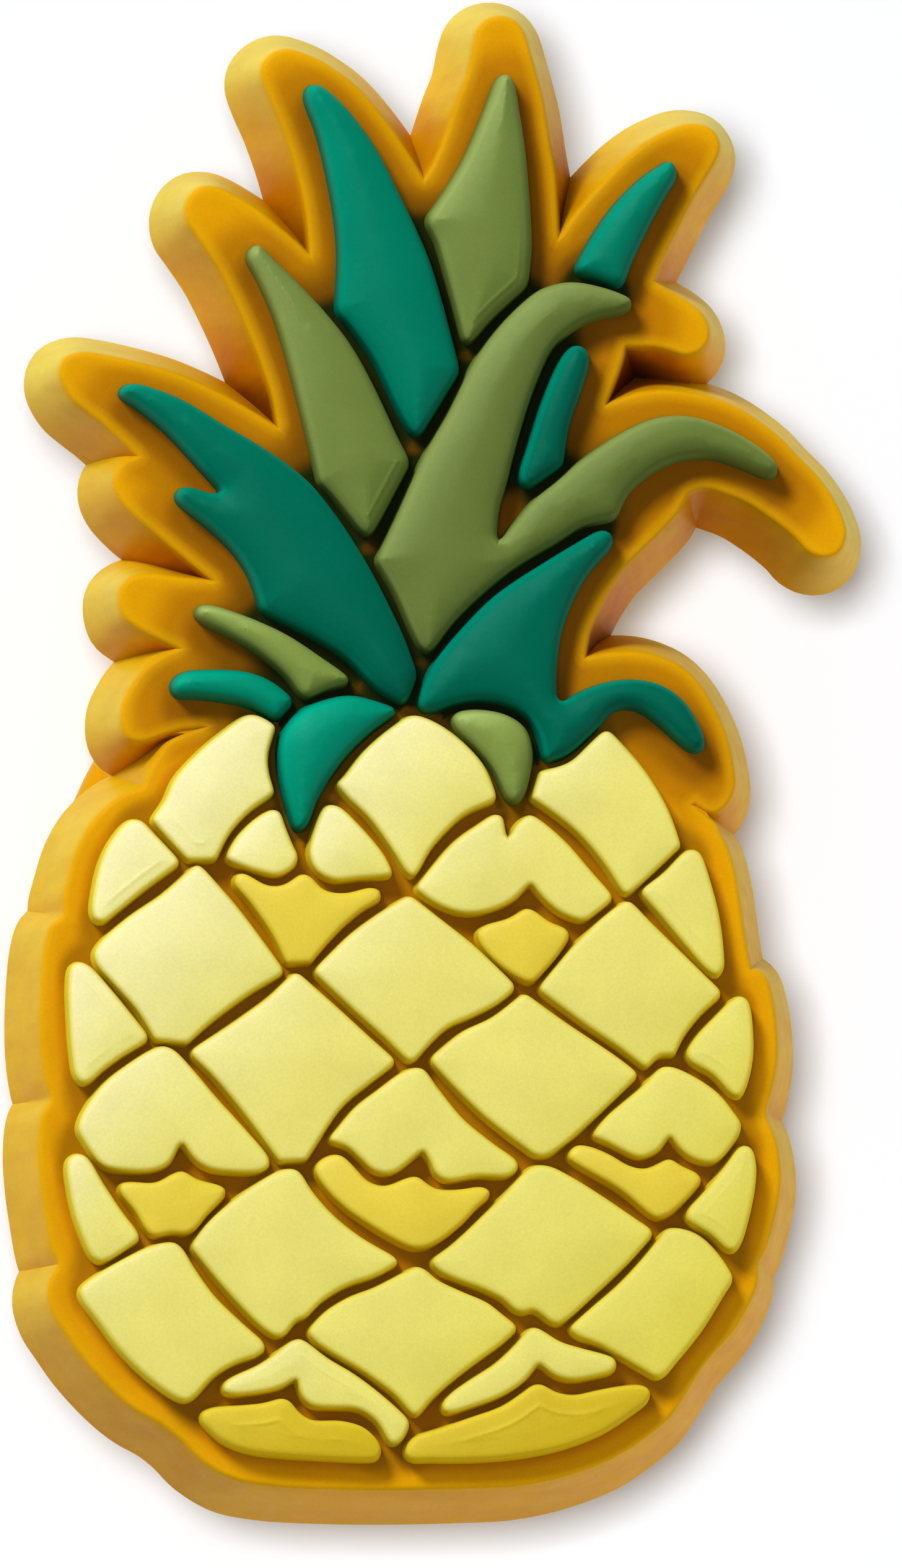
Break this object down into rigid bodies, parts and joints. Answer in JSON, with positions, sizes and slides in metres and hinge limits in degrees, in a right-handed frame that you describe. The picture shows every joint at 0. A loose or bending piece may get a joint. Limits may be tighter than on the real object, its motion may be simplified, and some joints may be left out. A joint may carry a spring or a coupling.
{
  "type": "pineapple shoe charm",
  "caption": "Moulded soft-plastic charm shaped like a pineapple, with raised leaves and scales on a drafted slab and a round snap-in stud behind.",
  "frame": {"origin": "centre of the stud's flat end, which the charm stands on when it lies face up", "axes": "+Y towards the crown's tips, +Z out of the decorated face, +X to the right seen from the front"},
  "size_m": [0.0181, 0.0321, 0.0104],
  "materials": {
    "amber": "satin, slightly translucent soft vinyl",
    "dark_green": "satin soft vinyl",
    "olive": "satin soft vinyl",
    "pale_yellow": "satin soft vinyl",
    "deep_yellow": "satin soft vinyl"
  },
  "bodies": {
    "root": {"slab": "amber", "stud": "amber", "leaf_01": "dark_green", "leaf_02": "olive", "leaf_03": "dark_green", "leaf_04": "olive", "leaf_05": "dark_green", "leaf_06": "olive", "leaf_07": "dark_green", "leaf_08": "olive", "leaf_09": "dark_green", "leaf_10": "dark_green", "leaf_11": "dark_green", "leaf_12": "olive", "scale_01": "pale_yellow", "scale_02": "pale_yellow", "scale_03": "pale_yellow", "scale_04": "pale_yellow", "scale_05": "pale_yellow", "scale_06": "pale_yellow", "scale_07": "pale_yellow", "scale_08": "pale_yellow", "scale_09": "pale_yellow", "scale_10": "pale_yellow", "scale_11": "pale_yellow", "scale_12": "pale_yellow", "scale_13": "pale_yellow", "scale_14": "pale_yellow", "scale_15": "pale_yellow", "scale_16": "pale_yellow", "scale_17": "pale_yellow", "scale_18": "pale_yellow", "scale_19": "pale_yellow", "scale_20": "pale_yellow", "scale_21": "pale_yellow", "scale_22": "pale_yellow", "scale_23": "pale_yellow", "scale_24": "pale_yellow", "scale_25": "pale_yellow", "scale_26": "pale_yellow", "scale_27": "pale_yellow", "filler_1": "deep_yellow", "filler_2": "deep_yellow", "filler_3": "deep_yellow", "filler_4": "deep_yellow", "filler_5": "deep_yellow", "filler_6": "deep_yellow", "filler_7": "deep_yellow"}
  },
  "joints": []
}
